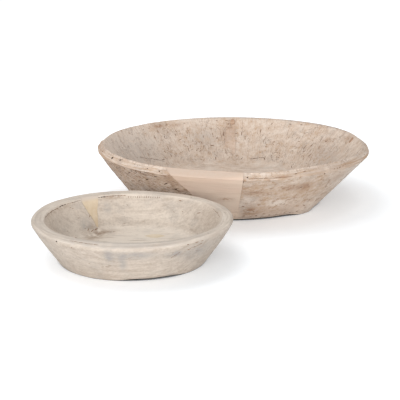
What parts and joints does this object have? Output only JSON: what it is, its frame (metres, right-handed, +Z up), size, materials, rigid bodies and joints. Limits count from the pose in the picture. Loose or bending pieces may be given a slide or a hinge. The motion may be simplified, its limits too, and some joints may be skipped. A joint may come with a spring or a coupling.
{
  "type": "dough bowl set",
  "caption": "Round carved wooden dough bowls with leaning walls and flat feet, a wide one with a patched rim and a small one that nests in it, for dough, fruit or display.",
  "frame": {"origin": "centre of the large bowl's foot, on the surface that the bowls stand on", "axes": "+Z up along the large bowl's axis, -Y towards the front, where the patched wall and the small bowl are"},
  "size_m": [0.6921, 0.9501, 0.1279],
  "materials": {
    "large_wood": "weathered, whitewashed, rough carved",
    "patch_wood": "planed smooth, whitewashed",
    "small_wood": "whitewashed, sanded",
    "filler": "wood filler, sanded flush",
    "knot_wood": "brown knot wood",
    "iron": "old, darkened"
  },
  "bodies": {
    "large_bowl": {"large_bowl_body": "large_wood", "large_front_patch": "patch_wood", "patch_nails": "iron", "large_back_fill": "filler", "large_knot_plugs": "knot_wood"},
    "small_bowl": {"small_bowl_body": "small_wood", "small_wedge_fill": "filler", "small_floor_fill": "filler"}
  },
  "joints": [
    {"name": "small_bowl_lift", "type": "slide", "parent": "large_bowl", "child": "small_bowl", "axis": [0, 0, 1], "range_m": [0, 0.15]}
  ]
}
